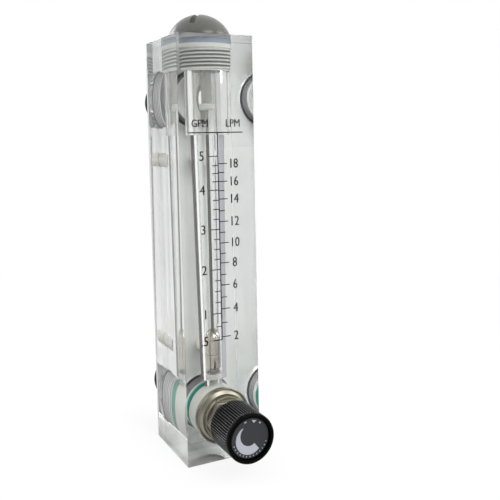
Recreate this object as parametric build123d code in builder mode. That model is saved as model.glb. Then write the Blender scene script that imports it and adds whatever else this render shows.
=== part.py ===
from build123d import *
from math import cos, radians, sqrt
import os

# Panel rotameter: a clear block with a tapered bore, a float on a guide rod, a front valve and two rear ports.
# Millimetres, +Z up. The scale and the knob face -Y, the back plate and the ports face +Y.
# The origin is the middle of the footprint of the block and its plate, on the bottom face.

# Block and back plate
block_width = 32.0
block_depth = 34.5
block_height = 170.0
block_edge_chamfer = 0.4
plate_thickness = 1.5

# Where the passages lie
bore_axis_inset = 15.5          # from the front face to the float bore's axis
valve_height = 18.0             # the valve and the inlet share one axis
outlet_drop = 23.5              # from the block's top to the outlet's axis
chamber_drop = 15.0             # from the outlet's axis to the chamber's floor, where the taper ends
foot_wall = 2.5                 # between the valve's bore and the taper's foot

# Clearances
sliding_clearance = 0.08        # radial, between a part that turns or slides and its hole
seal_clearance = 0.05           # round each seal, which only just meets its groove and its wall
thread_run_out = 0.4            # a tapped hole is this much deeper than what screws into it

# Float bore
taper_foot_radius = 5.5
taper_top_radius = 7.1
foot_passage_radius = 3.7
chamber_radius = 9.0

# Top plug
plug_thread_radius = 10.0
plug_thread_length = 8.5
plug_head_radius = 12.5
plug_head_height = 9.5
plug_head_rim = 1.0
plug_slot_width = 2.0
plug_slot_depth = 4.2
plug_slot_angle = 51.0
plug_seal_section = 2.4
seal_recess_radius = 10.7
seal_recess_depth = 4.5
spigot_radius = 3.2
spigot_length = 13.0
rod_socket_depth = 6.0

# Guide rod, stops and float
rod_radius = 1.0
stop_radius = 4.6
stop_thickness = 2.4
stop_chamfer = 0.4
holder_thickness = 2.0
holder_ring_wall = 0.9
holder_hub_radius = 2.0
holder_arm_width = 1.2
holder_arm_count = 3
float_radius = 5.15
float_bore_clearance = 0.25
float_foot_radius = 3.6
float_foot_height = 2.5
float_body_height = 9.5
float_dome_height = 5.5
float_dome_radius = 7.0
float_tip_radius = 2.0
float_rest_gap = 0.3
float_band_inset = 3.0          # from the reading edge down to the band turned in the body
float_band_depth = 0.35
float_band_width = 1.0

# Rear ports and their fittings
port_thread_radius = 10.478     # half-inch parallel pipe thread, over the crests
port_thread_pitch = 1.814
port_groove_width = 1.3
port_groove_depth = 1.1
port_end_land = 1.8             # from the last groove's pitch to the fitting's end
port_engaged_radius = 10.2      # inside the block the thread is plain, part-way down its flanks
port_thread_depth = 10.1        # how far the fitting enters the block
port_passage_radius = 6.5
port_wall = 1.0                 # between the inlet's hole and the valve's bore
fitting_reach = 21.5            # from the plate to the fitting's end
fitting_hex_across = 26.0
fitting_hex_thickness = 5.0
fitting_hex_land = 2.0
fitting_hex_trim_radius = 14.7
fitting_hex_face_radius = 11.8
fitting_end_chamfer = 0.8
fitting_mouth_radius = 6.9
fitting_mouth_depth = 2.2
fitting_bore_radius = 5.72      # quarter-inch parallel pipe thread, at the crests
fitting_bore_depth = 13.0
fitting_passage_radius = 4.4
port_seal_radius = 12.0
port_seal_thickness = 1.8
outlet_hex_turn = 0.0
inlet_hex_turn = 20.0

# Studs and nuts on the back plate
stud_port_spacing = 25.0        # from a port's axis to its stud's
stud_radius = 3.0
stud_free_radius = 2.9          # over the crests of the free thread past the nut
stud_sink = 9.0
stud_reach = 7.5
stud_end_chamfer = 0.6
nut_across = 10.0
nut_thickness = 4.8
nut_trim_radius = 5.6
nut_face_radius = 4.9
nut_chamfer_height = 0.5
upper_nut_turn = 8.0
lower_nut_turn = 30.0

# Valve cartridge
valve_bore_radius = 11.0
cartridge_clearance = 0.25
cartridge_length = 17.0
cartridge_cavity_radius = 7.2
cartridge_window_radius = 3.4
cartridge_seal_section = 2.2
cartridge_seal_inset = 2.6      # from the cartridge's inner end to the middle of its seal
seat_radius = 4.6
seat_wall = 3.0

# Valve bonnet
bonnet_clearance = 0.1
bonnet_skirt_length = 6.4
bonnet_sleeve_radius = 6.5
bonnet_sleeve_length = 4.5
bonnet_neck_radius = 9.3
bonnet_neck_length = 2.6
bonnet_hex_across = 16.0
bonnet_hex_length = 2.7
bonnet_hex_chamfer = 0.5
bonnet_seal_section = 1.6
bonnet_seal_inset = 1.6         # from the skirt's inner end to the middle of its seal
seal_groove_play = 0.4          # a groove is this much wider than its seal

# Stem and poppet
valve_lift = 3.75               # three turns of a 1.25 mm thread
stem_shaft_radius = 3.0
stem_thread_radius = 3.9
stem_thread_length = 5.0
stem_thread_setback = 1.0       # from the bonnet's inner end to the stem's thread, valve shut
stem_stop_gap = 0.2             # left ahead of the thread when the valve is fully open
stem_tip_radius = 2.0
stem_tip_overhang = 0.7         # past the clip
stem_seat_radius = 2.5
stem_seal_section = 1.4
stem_seal_pitch = 2.2
gland_wall = 2.5                # metal round the stem's seals
poppet_radius = 6.2
poppet_thickness = 2.8
poppet_play = 0.06
poppet_rest_gap = 0.1
poppet_seal_inner_radius = 4.0
poppet_seal_outer_radius = 5.9
poppet_seal_thickness = 1.0
poppet_seal_proud = 0.5
clip_radius = 3.3
clip_thickness = 0.6
clip_groove_depth = 0.4
clip_mouth_width = 2.0

# Knob
knob_radius = 9.7
knob_length = 17.0
knob_gap = 2.3                  # from the bonnet's hexagon to the knob's back edge
knob_skirt_wall = 1.6
knob_skirt_depth = 9.5
knob_hub_radius = 5.0
knob_rib_count = 60
knob_rib_depth = 0.45
knob_rib_land = 2.0             # left smooth behind the front edge
knob_edge_radius = 0.8
knob_dish_radius = 8.2
knob_dish_depth = 1.3
knob_cap_radius = 7.9
knob_cap_thickness = 1.2
knob_web = 1.5
screw_head_radius = 2.8
screw_head_height = 1.9
screw_head_clearance = 0.4
screw_shank_radius = 1.2
screw_shank_length = 7.0
screw_slot_width = 0.7
screw_slot_depth = 0.9

# Places along Y: block, plate and fittings
front_y = -(block_depth + plate_thickness) / 2
block_back_y = front_y + block_depth
plate_back_y = block_back_y + plate_thickness
bore_y = front_y + bore_axis_inset
fitting_inner_y = block_back_y - port_thread_depth
fitting_end_y = plate_back_y + fitting_reach
nut_end_y = plate_back_y + nut_thickness
stud_end_y = plate_back_y + stud_reach
port_hole_radius = port_engaged_radius + sliding_clearance
plate_hole_radius = port_thread_radius + sliding_clearance
port_hole_end_y = fitting_inner_y - thread_run_out

# Places along Y: cartridge, bonnet, poppet, stem and knob, from the inside out
valve_bore_end_y = port_hole_end_y - port_wall
cartridge_front_y = valve_bore_end_y - cartridge_length
seat_y = valve_bore_end_y - seat_wall
neck_y = cartridge_front_y - bonnet_skirt_length
bonnet_hex_y = neck_y - bonnet_neck_length
bonnet_end_y = bonnet_hex_y - bonnet_hex_length
sleeve_y = cartridge_front_y + bonnet_sleeve_length
poppet_face_y = seat_y - poppet_rest_gap - poppet_seal_proud
poppet_back_y = poppet_face_y - poppet_thickness
clip_y = poppet_face_y + poppet_play
stem_shoulder_y = poppet_back_y - poppet_play
stem_thread_y = sleeve_y - stem_thread_setback
stem_thread_end_y = stem_thread_y - stem_thread_length
knob_back_y = bonnet_end_y - knob_gap
knob_front_y = knob_back_y - knob_length
dish_y = knob_front_y + knob_dish_depth
cap_y = dish_y + knob_cap_thickness
screw_seat_y = cap_y + screw_head_height
stem_end_y = screw_seat_y + knob_web

# Heights
outlet_height = block_height - outlet_drop
stud_upper_height = outlet_height - stud_port_spacing
stud_lower_height = valve_height + stud_port_spacing
taper_top_height = outlet_height - chamber_drop
taper_foot_height = valve_height + valve_bore_radius + foot_wall
recess_floor_height = block_height - seal_recess_depth
plug_foot_height = recess_floor_height - plug_thread_length
chamber_top_height = plug_foot_height - thread_run_out
spigot_foot_height = plug_foot_height - spigot_length
head_top_height = block_height + plug_head_height


def upright(y):
    """Plane whose x axis runs up a vertical axis at depth y."""
    return Plane(origin=(0, y, 0), x_dir=(0, 0, 1), z_dir=(0, -1, 0))


def level(z):
    """Plane whose x axis runs towards +Y along a horizontal axis at height z."""
    return Plane(origin=(0, 0, z), x_dir=(0, 1, 0), z_dir=(1, 0, 0))


def facing_back(y, z):
    """Plane at depth y and height z that faces +Y."""
    return Plane(origin=(0, y, z), x_dir=(-1, 0, 0), z_dir=(0, 1, 0))


def facing_front(y, z):
    """Plane at depth y and height z that faces -Y."""
    return Plane(origin=(0, y, z), x_dir=(1, 0, 0), z_dir=(0, -1, 0))


def turning_axis(plane):
    """Axis that a profile drawn on the plane is turned about."""
    return Axis(plane.origin, plane.x_dir)


def profile(outline, plane):
    """Face inside a closed outline of (along, radius) points on the plane."""
    with BuildSketch(plane) as face:
        with BuildLine():
            Polyline(*outline, close=True)
        make_face()
    return face.sketch


def ring_seal(plane, along, middle_radius, section):
    """Round seal of the given section about the plane's x axis."""
    with BuildPart() as seal:
        with BuildSketch(plane):
            with Locations((along, middle_radius)):
                Circle(section / 2)
        revolve(axis=turning_axis(plane))
    return seal


def hex_trim(start, end, corner_radius, face_radius, chamfer_height):
    """Outline that trims a hexagon's corners, with its chamfer at the end face."""
    towards_start = chamfer_height if start > end else -chamfer_height
    return [
        (start, 0),
        (start, corner_radius),
        (end + towards_start, corner_radius),
        (end, face_radius),
        (end, 0),
    ]


def save(piece, name):
    """Label one finished piece and write it to its own file."""
    piece.part.label = name
    export_step(piece.part, f"parts/{name}.step")


os.makedirs("parts", exist_ok=True)
bore_plane = upright(bore_y)
bore_axis = turning_axis(bore_plane)
valve_plane = level(valve_height)
valve_axis = turning_axis(valve_plane)

# Clear block, drilled for the float, the plug, the valve, the ports and the studs
plug_hole_radius = plug_thread_radius + sliding_clearance
bore_outline = [
    (valve_height, 0),
    (valve_height, foot_passage_radius),
    (taper_foot_height, foot_passage_radius),
    (taper_foot_height, taper_foot_radius),
    (taper_top_height, taper_top_radius),
    (taper_top_height, chamber_radius),
    (chamber_top_height, chamber_radius),
    (chamber_top_height, plug_hole_radius),
    (recess_floor_height, plug_hole_radius),
    (recess_floor_height, seal_recess_radius),
    (block_height, seal_recess_radius),
    (block_height, 0),
]
with BuildPart() as body_block:
    with BuildSketch(Plane.XY):
        with Locations((0, (front_y + block_back_y) / 2)):
            Rectangle(block_width, block_depth)
    extrude(amount=block_height)
    chamfer(body_block.faces().sort_by(Axis.Y)[0].edges(), block_edge_chamfer)
    revolve(profile(bore_outline, bore_plane), axis=bore_axis, mode=Mode.SUBTRACT)
    with BuildSketch(facing_back(front_y, valve_height)):
        Circle(valve_bore_radius)
    extrude(amount=valve_bore_end_y - front_y, mode=Mode.SUBTRACT)
    for height, passage_end_y in ((outlet_height, bore_y), (valve_height, valve_bore_end_y)):
        port_outline = [
            (block_back_y, 0),
            (block_back_y, port_seal_radius),
            (block_back_y - port_seal_thickness, port_seal_radius),
            (block_back_y - port_seal_thickness, port_hole_radius),
            (port_hole_end_y, port_hole_radius),
            (port_hole_end_y, port_passage_radius),
            (passage_end_y, port_passage_radius),
            (passage_end_y, 0),
        ]
        port_plane = level(height)
        revolve(profile(port_outline, port_plane), axis=turning_axis(port_plane), mode=Mode.SUBTRACT)
    for height in (stud_upper_height, stud_lower_height):
        with BuildSketch(facing_back(block_back_y, height)):
            Circle(stud_radius)
        extrude(amount=-stud_sink, mode=Mode.SUBTRACT)
save(body_block, "body_block")

# Back plate with holes for the fittings and the studs
with BuildPart() as back_plate:
    with BuildSketch(facing_back(block_back_y, 0)):
        with Locations((0, block_height / 2)):
            Rectangle(block_width, block_height)
        with Locations((0, outlet_height), (0, valve_height)):
            Circle(plate_hole_radius, mode=Mode.SUBTRACT)
        with Locations((0, stud_upper_height), (0, stud_lower_height)):
            Circle(stud_radius, mode=Mode.SUBTRACT)
    extrude(amount=plate_thickness)
save(back_plate, "back_plate")

# Domed and slotted top plug with its seal groove and the spigot that holds the rod
plug_seal_height = block_height - seal_recess_depth / 2
plug_groove_radius = seal_recess_radius - plug_seal_section - 2 * seal_clearance
plug_groove_half = plug_seal_section / 2 + seal_clearance
dome_rise = plug_head_height - plug_head_rim
dome_radius = (plug_head_radius ** 2 + dome_rise ** 2) / (2 * dome_rise)
dome_halfway_radius = plug_head_radius / 2
dome_halfway_height = head_top_height - dome_radius + sqrt(dome_radius ** 2 - dome_halfway_radius ** 2)
with BuildPart() as top_plug:
    with BuildSketch(bore_plane):
        with BuildLine():
            Polyline(
                (head_top_height, 0),
                (spigot_foot_height, 0),
                (spigot_foot_height, spigot_radius),
                (plug_foot_height, spigot_radius),
                (plug_foot_height, plug_thread_radius),
                (plug_seal_height - plug_groove_half, plug_thread_radius),
                (plug_seal_height - plug_groove_half, plug_groove_radius),
                (plug_seal_height + plug_groove_half, plug_groove_radius),
                (plug_seal_height + plug_groove_half, plug_thread_radius),
                (block_height, plug_thread_radius),
                (block_height, plug_head_radius),
                (block_height + plug_head_rim, plug_head_radius),
            )
            ThreePointArc(
                (block_height + plug_head_rim, plug_head_radius),
                (dome_halfway_height, dome_halfway_radius),
                (head_top_height, 0),
            )
        make_face()
    revolve(axis=bore_axis)
    with BuildSketch(Plane(origin=(0, bore_y, spigot_foot_height))):
        Circle(rod_radius)
    extrude(amount=rod_socket_depth, mode=Mode.SUBTRACT)
    with BuildSketch(Plane(origin=(0, bore_y, head_top_height))):
        Rectangle(2 * plug_head_radius, plug_slot_width, rotation=plug_slot_angle)
    extrude(amount=-plug_slot_depth, mode=Mode.SUBTRACT)
save(top_plug, "top_plug")

plug_seal_radius = seal_recess_radius - seal_clearance - plug_seal_section / 2
save(ring_seal(bore_plane, plug_seal_height, plug_seal_radius, plug_seal_section), "top_plug_seal")

# Guide rod from the bore's foot up into the plug
with BuildPart() as guide_rod:
    with BuildSketch(Plane(origin=(0, bore_y, taper_foot_height))):
        Circle(rod_radius)
    extrude(amount=spigot_foot_height + rod_socket_depth - taper_foot_height)
save(guide_rod, "guide_rod")

# Collar that stops the float at full flow
with BuildPart() as upper_stop:
    with BuildSketch(Plane(origin=(0, bore_y, spigot_foot_height))):
        Circle(stop_radius)
    extrude(amount=-stop_thickness)
    chamfer(upper_stop.edges().filter_by(GeomType.CIRCLE), stop_chamfer)
    with BuildSketch(Plane(origin=(0, bore_y, spigot_foot_height))):
        Circle(rod_radius)
    extrude(amount=-stop_thickness, mode=Mode.SUBTRACT)
save(upper_stop, "upper_stop")

# Ring with three arms that carries the rod's foot and the resting float
holder_ring_radius = taper_foot_radius - sliding_clearance
with BuildPart() as lower_stop:
    with BuildSketch(Plane(origin=(0, bore_y, taper_foot_height))):
        Circle(holder_ring_radius)
        Circle(holder_ring_radius - holder_ring_wall, mode=Mode.SUBTRACT)
        with PolarLocations(holder_ring_radius / 2, holder_arm_count, start_angle=90):
            Rectangle(holder_ring_radius - holder_ring_wall, holder_arm_width)
        Circle(holder_hub_radius)
        Circle(rod_radius, mode=Mode.SUBTRACT)
    extrude(amount=holder_thickness)
save(lower_stop, "lower_stop")

# Float: a turned steel body with a reading edge under a dome
float_foot_z = taper_foot_height + holder_thickness + float_rest_gap
float_edge_z = float_foot_z + float_foot_height + float_body_height
float_top_z = float_edge_z + float_dome_height
float_bore_radius = rod_radius + float_bore_clearance
band_top_z = float_edge_z - float_band_inset
band_foot_z = band_top_z - float_band_width
with BuildPart() as float_body:
    with BuildSketch(bore_plane):
        with BuildLine():
            Polyline(
                (float_top_z, float_tip_radius),
                (float_top_z, float_bore_radius),
                (float_foot_z, float_bore_radius),
                (float_foot_z, float_foot_radius),
                (float_foot_z + float_foot_height, float_radius),
                (band_foot_z, float_radius),
                (band_foot_z, float_radius - float_band_depth),
                (band_top_z, float_radius - float_band_depth),
                (band_top_z, float_radius),
                (float_edge_z, float_radius),
            )
            RadiusArc((float_edge_z, float_radius), (float_top_z, float_tip_radius), float_dome_radius)
        make_face()
    revolve(axis=bore_axis)
save(float_body, "float")

# Rear fittings: tubes with a hexagon that clamps the plate and rings for the free thread's turns
hex_face_y = plate_back_y + fitting_hex_thickness
fitting_hex_chamfer = fitting_hex_thickness - fitting_hex_land
groove_count = int((fitting_end_y - port_end_land - hex_face_y) / port_thread_pitch)
thread_grooves = []
for index in range(groove_count):
    groove_y = hex_face_y + (index + 0.5) * port_thread_pitch
    thread_grooves += [
        (groove_y - port_groove_width / 2, port_thread_radius),
        (groove_y, port_thread_radius - port_groove_depth),
        (groove_y + port_groove_width / 2, port_thread_radius),
    ]
tube_outline = [
    (fitting_inner_y, fitting_passage_radius),
    (fitting_inner_y, port_engaged_radius - fitting_end_chamfer),
    (fitting_inner_y + fitting_end_chamfer, port_engaged_radius),
    (plate_back_y + fitting_hex_land, port_engaged_radius),
    (plate_back_y + fitting_hex_land, port_thread_radius),
    *thread_grooves,
    (fitting_end_y - fitting_end_chamfer, port_thread_radius),
    (fitting_end_y, port_thread_radius - fitting_end_chamfer),
    (fitting_end_y, fitting_mouth_radius),
    (fitting_end_y - fitting_mouth_depth, fitting_bore_radius),
    (fitting_end_y - fitting_bore_depth, fitting_bore_radius),
    (fitting_end_y - fitting_bore_depth, fitting_passage_radius),
]
fitting_hex_trim = hex_trim(
    plate_back_y, hex_face_y, fitting_hex_trim_radius, fitting_hex_face_radius, fitting_hex_chamfer
)
fittings = (
    ("outlet_fitting", outlet_height, outlet_hex_turn),
    ("inlet_fitting", valve_height, inlet_hex_turn),
)
for name, height, turn in fittings:
    port_plane = level(height)
    port_axis = turning_axis(port_plane)
    with BuildPart() as fitting:
        with BuildSketch(facing_back(plate_back_y, height)):
            RegularPolygon(fitting_hex_across / 2, 6, major_radius=False, rotation=turn)
            Circle(fitting_bore_radius, mode=Mode.SUBTRACT)
        extrude(amount=fitting_hex_thickness)
        revolve(profile(fitting_hex_trim, port_plane), axis=port_axis, mode=Mode.INTERSECT)
        revolve(profile(tube_outline, port_plane), axis=port_axis)
    save(fitting, name)

# Flat seals between the plate and the block, round each fitting
for name, height in (("outlet_seal", outlet_height), ("inlet_seal", valve_height)):
    with BuildPart() as port_seal:
        with BuildSketch(facing_back(block_back_y, height)):
            Circle(port_seal_radius - seal_clearance)
            Circle(port_hole_radius, mode=Mode.SUBTRACT)
        extrude(amount=-port_seal_thickness)
    save(port_seal, name)

# Brass studs set in the block
for name, height in (("stud_upper", stud_upper_height), ("stud_lower", stud_lower_height)):
    with BuildPart() as stud:
        with BuildSketch(facing_back(block_back_y - stud_sink, height)):
            Circle(stud_radius)
        extrude(amount=nut_end_y - block_back_y + stud_sink)
        with BuildSketch(facing_back(nut_end_y, height)):
            Circle(stud_free_radius)
        extrude(amount=stud_end_y - nut_end_y)
        chamfer(stud.faces().sort_by(Axis.Y)[-1].edges(), stud_end_chamfer)
    save(stud, name)

# Nuts that hold the plate
nut_trim = hex_trim(plate_back_y, nut_end_y, nut_trim_radius, nut_face_radius, nut_chamfer_height)
nuts = (
    ("nut_upper", stud_upper_height, upper_nut_turn),
    ("nut_lower", stud_lower_height, lower_nut_turn),
)
for name, height, turn in nuts:
    stud_plane = level(height)
    with BuildPart() as nut:
        with BuildSketch(facing_back(plate_back_y, height)):
            RegularPolygon(nut_across / 2, 6, major_radius=False, rotation=turn)
            Circle(stud_radius, mode=Mode.SUBTRACT)
        extrude(amount=nut_thickness)
        revolve(profile(nut_trim, stud_plane), axis=turning_axis(stud_plane), mode=Mode.INTERSECT)
    save(nut, name)

# Valve cartridge: a plastic barrel with the seat at its inner end and a window up to the float bore
cartridge_radius = valve_bore_radius - cartridge_clearance
cartridge_seal_y = valve_bore_end_y - cartridge_seal_inset
cartridge_groove_radius = valve_bore_radius - cartridge_seal_section - 2 * seal_clearance
cartridge_groove_half = (cartridge_seal_section + seal_groove_play) / 2
cartridge_outline = [
    (valve_bore_end_y, seat_radius),
    (valve_bore_end_y, cartridge_radius),
    (cartridge_seal_y + cartridge_groove_half, cartridge_radius),
    (cartridge_seal_y + cartridge_groove_half, cartridge_groove_radius),
    (cartridge_seal_y - cartridge_groove_half, cartridge_groove_radius),
    (cartridge_seal_y - cartridge_groove_half, cartridge_radius),
    (cartridge_front_y, cartridge_radius),
    (cartridge_front_y, cartridge_cavity_radius),
    (seat_y, cartridge_cavity_radius),
    (seat_y, seat_radius),
]
with BuildPart() as valve_cartridge:
    revolve(profile(cartridge_outline, valve_plane), axis=valve_axis)
    with BuildSketch(Plane(origin=(0, bore_y, valve_height))):
        Circle(cartridge_window_radius)
    extrude(amount=valve_bore_radius, mode=Mode.SUBTRACT)
save(valve_cartridge, "valve_cartridge")

cartridge_seal_radius = valve_bore_radius - seal_clearance - cartridge_seal_section / 2
cartridge_seal = ring_seal(valve_plane, cartridge_seal_y, cartridge_seal_radius, cartridge_seal_section)
save(cartridge_seal, "cartridge_seal")

# Bonnet: a brass gland in the block's mouth, which holds the cartridge and guides the stem
skirt_radius = valve_bore_radius - bonnet_clearance
shaft_hole_radius = stem_shaft_radius + sliding_clearance
thread_hole_radius = stem_thread_radius + sliding_clearance
thread_hole_end_y = stem_thread_end_y - valve_lift - stem_stop_gap
bonnet_seal_y = cartridge_front_y - bonnet_seal_inset
bonnet_groove_radius = valve_bore_radius - bonnet_seal_section - 2 * seal_clearance
bonnet_groove_half = (bonnet_seal_section + seal_groove_play) / 2
stem_groove_radius = stem_shaft_radius + stem_seal_section + 2 * seal_clearance
stem_groove_half = stem_seal_section / 2 + seal_clearance
gland_radius = stem_groove_radius + gland_wall
gland_middle_y = (neck_y + bonnet_end_y) / 2
inner_stem_seal_y = gland_middle_y + stem_seal_pitch / 2
outer_stem_seal_y = gland_middle_y - stem_seal_pitch / 2
bonnet_outline = [
    (sleeve_y, thread_hole_radius),
    (sleeve_y, bonnet_sleeve_radius),
    (cartridge_front_y, bonnet_sleeve_radius),
    (cartridge_front_y, skirt_radius),
    (bonnet_seal_y + bonnet_groove_half, skirt_radius),
    (bonnet_seal_y + bonnet_groove_half, bonnet_groove_radius),
    (bonnet_seal_y - bonnet_groove_half, bonnet_groove_radius),
    (bonnet_seal_y - bonnet_groove_half, skirt_radius),
    (neck_y, skirt_radius),
    (neck_y, bonnet_neck_radius),
    (bonnet_hex_y, bonnet_neck_radius),
    (bonnet_hex_y, gland_radius),
    (bonnet_end_y, gland_radius),
    (bonnet_end_y, shaft_hole_radius),
    (outer_stem_seal_y - stem_groove_half, shaft_hole_radius),
    (outer_stem_seal_y - stem_groove_half, stem_groove_radius),
    (outer_stem_seal_y + stem_groove_half, stem_groove_radius),
    (outer_stem_seal_y + stem_groove_half, shaft_hole_radius),
    (inner_stem_seal_y - stem_groove_half, shaft_hole_radius),
    (inner_stem_seal_y - stem_groove_half, stem_groove_radius),
    (inner_stem_seal_y + stem_groove_half, stem_groove_radius),
    (inner_stem_seal_y + stem_groove_half, shaft_hole_radius),
    (thread_hole_end_y, shaft_hole_radius),
    (thread_hole_end_y, thread_hole_radius),
]
bonnet_hex_trim = hex_trim(
    bonnet_hex_y,
    bonnet_end_y,
    bonnet_hex_across / 2 / cos(radians(30)),
    bonnet_hex_across / 2,
    bonnet_hex_chamfer,
)
with BuildPart() as valve_bonnet:
    with BuildSketch(facing_front(bonnet_hex_y, valve_height)):
        RegularPolygon(bonnet_hex_across / 2, 6, major_radius=False)
        Circle(stem_groove_radius, mode=Mode.SUBTRACT)
    extrude(amount=bonnet_hex_length)
    revolve(profile(bonnet_hex_trim, valve_plane), axis=valve_axis, mode=Mode.INTERSECT)
    revolve(profile(bonnet_outline, valve_plane), axis=valve_axis)
save(valve_bonnet, "valve_bonnet")

bonnet_seal_radius = valve_bore_radius - seal_clearance - bonnet_seal_section / 2
save(ring_seal(valve_plane, bonnet_seal_y, bonnet_seal_radius, bonnet_seal_section), "bonnet_seal")

stem_seal_radius = stem_shaft_radius + seal_clearance + stem_seal_section / 2
save(ring_seal(valve_plane, inner_stem_seal_y, stem_seal_radius, stem_seal_section), "stem_seal_inner")
save(ring_seal(valve_plane, outer_stem_seal_y, stem_seal_radius, stem_seal_section), "stem_seal_outer")

# Poppet: a disc that swivels on the stem's tip and closes on the seat
poppet_bore_radius = stem_tip_radius + poppet_play
poppet_seal_foot_y = poppet_face_y + poppet_seal_proud - poppet_seal_thickness
poppet_outline = [
    (poppet_face_y, poppet_bore_radius),
    (poppet_face_y, poppet_seal_inner_radius),
    (poppet_seal_foot_y, poppet_seal_inner_radius),
    (poppet_seal_foot_y, poppet_seal_outer_radius),
    (poppet_face_y, poppet_seal_outer_radius),
    (poppet_face_y, poppet_radius),
    (poppet_back_y, poppet_radius),
    (poppet_back_y, poppet_bore_radius),
]
with BuildPart() as valve_poppet:
    revolve(profile(poppet_outline, valve_plane), axis=valve_axis)
save(valve_poppet, "valve_poppet")

with BuildPart() as poppet_seal:
    with BuildSketch(facing_back(poppet_seal_foot_y, valve_height)):
        Circle(poppet_seal_outer_radius)
        Circle(poppet_seal_inner_radius, mode=Mode.SUBTRACT)
    extrude(amount=poppet_seal_thickness)
save(poppet_seal, "poppet_seal")

# Brass stem: swivel tip, thread, polished shaft and the knob's seat
clip_groove_radius = stem_tip_radius - clip_groove_depth
stem_tip_y = clip_y + clip_thickness + stem_tip_overhang
stem_outline = [
    (stem_tip_y, 0),
    (stem_tip_y, stem_tip_radius),
    (clip_y + clip_thickness, stem_tip_radius),
    (clip_y + clip_thickness, clip_groove_radius),
    (clip_y, clip_groove_radius),
    (clip_y, stem_tip_radius),
    (stem_shoulder_y, stem_tip_radius),
    (stem_shoulder_y, stem_shaft_radius),
    (stem_thread_y, stem_shaft_radius),
    (stem_thread_y, stem_thread_radius),
    (stem_thread_end_y, stem_thread_radius),
    (stem_thread_end_y, stem_shaft_radius),
    (knob_back_y, stem_shaft_radius),
    (knob_back_y, stem_seat_radius),
    (stem_end_y, stem_seat_radius),
    (stem_end_y, screw_shank_radius),
    (screw_seat_y + screw_shank_length, screw_shank_radius),
    (screw_seat_y + screw_shank_length, 0),
]
with BuildPart() as valve_stem:
    revolve(profile(stem_outline, valve_plane), axis=valve_axis)
save(valve_stem, "valve_stem")

with BuildPart() as poppet_clip:
    with BuildSketch(facing_back(clip_y, valve_height)):
        Circle(clip_radius)
        Circle(clip_groove_radius, mode=Mode.SUBTRACT)
        with Locations((0, -clip_radius)):
            Rectangle(clip_mouth_width, 2 * clip_radius, mode=Mode.SUBTRACT)
    extrude(amount=clip_thickness)
save(poppet_clip, "poppet_clip")

# Knob: a ribbed grip with an open back, a hub on the stem and a dished front
screw_pocket_radius = screw_head_radius + screw_head_clearance
knob_outline = [
    (knob_back_y, stem_seat_radius),
    (knob_back_y, knob_hub_radius),
    (knob_back_y - knob_skirt_depth, knob_hub_radius),
    (knob_back_y - knob_skirt_depth, knob_radius - knob_skirt_wall),
    (knob_back_y, knob_radius - knob_skirt_wall),
    (knob_back_y, knob_radius),
    (knob_front_y, knob_radius),
    (knob_front_y, knob_dish_radius),
    (dish_y, knob_dish_radius),
    (dish_y, knob_cap_radius),
    (cap_y, knob_cap_radius),
    (cap_y, screw_pocket_radius),
    (screw_seat_y, screw_pocket_radius),
    (screw_seat_y, screw_shank_radius),
    (stem_end_y, screw_shank_radius),
    (stem_end_y, stem_seat_radius),
]
rib_groove_side = knob_rib_depth * sqrt(2)
with BuildPart() as knob:
    revolve(profile(knob_outline, valve_plane), axis=valve_axis)
    outer_edges = knob.edges().filter_by(GeomType.CIRCLE).group_by(SortBy.RADIUS)[-1]
    fillet(outer_edges.sort_by(Axis.Y)[0], knob_edge_radius)
    with BuildSketch(facing_front(knob_back_y, valve_height)):
        with PolarLocations(knob_radius, knob_rib_count):
            Rectangle(rib_groove_side, rib_groove_side, rotation=45)
    extrude(amount=knob_length - knob_rib_land, mode=Mode.SUBTRACT)
save(knob, "knob")

with BuildPart() as knob_cap:
    with BuildSketch(facing_front(cap_y, valve_height)):
        Circle(knob_cap_radius)
    extrude(amount=knob_cap_thickness)
save(knob_cap, "knob_cap")

with BuildPart() as knob_screw:
    with BuildSketch(facing_front(screw_seat_y, valve_height)):
        Circle(screw_head_radius)
    extrude(amount=screw_head_height)
    with BuildSketch(facing_front(screw_seat_y - screw_head_height, valve_height)):
        Rectangle(2 * screw_head_radius, screw_slot_width)
    extrude(amount=-screw_slot_depth, mode=Mode.SUBTRACT)
    with BuildSketch(facing_front(screw_seat_y, valve_height)):
        Circle(screw_shank_radius)
    extrude(amount=-screw_shank_length)
save(knob_screw, "knob_screw")
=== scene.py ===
import math
import bpy
import bmesh
from mathutils import Matrix, Vector


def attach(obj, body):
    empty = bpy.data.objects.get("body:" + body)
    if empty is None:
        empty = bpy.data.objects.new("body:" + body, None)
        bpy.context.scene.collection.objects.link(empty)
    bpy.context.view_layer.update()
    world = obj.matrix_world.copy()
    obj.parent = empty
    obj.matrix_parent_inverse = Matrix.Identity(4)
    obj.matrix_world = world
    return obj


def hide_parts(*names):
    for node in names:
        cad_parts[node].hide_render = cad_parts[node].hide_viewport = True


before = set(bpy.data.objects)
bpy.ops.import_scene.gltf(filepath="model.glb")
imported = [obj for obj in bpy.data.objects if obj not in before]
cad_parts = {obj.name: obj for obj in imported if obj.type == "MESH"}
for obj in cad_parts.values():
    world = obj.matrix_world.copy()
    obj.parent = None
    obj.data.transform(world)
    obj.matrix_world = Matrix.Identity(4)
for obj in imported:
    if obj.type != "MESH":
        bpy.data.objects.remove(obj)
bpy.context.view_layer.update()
MM = 0.001


# Sizes and places, in millimetres

def corners_of(node):
    """Lowest and highest corner of a solid's box, to a hundredth of a millimetre."""
    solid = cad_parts[node]
    corners = [solid.matrix_world @ Vector(corner) for corner in solid.bound_box]
    low = [round(min(corner[axis] for corner in corners) / MM, 2) for axis in range(3)]
    high = [round(max(corner[axis] for corner in corners) / MM, 2) for axis in range(3)]
    return low, high


def middle_of(node, axis):
    """Middle of a solid's box along axis 0, 1 or 2."""
    low, high = corners_of(node)
    return round((low[axis] + high[axis]) / 2, 2)


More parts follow.
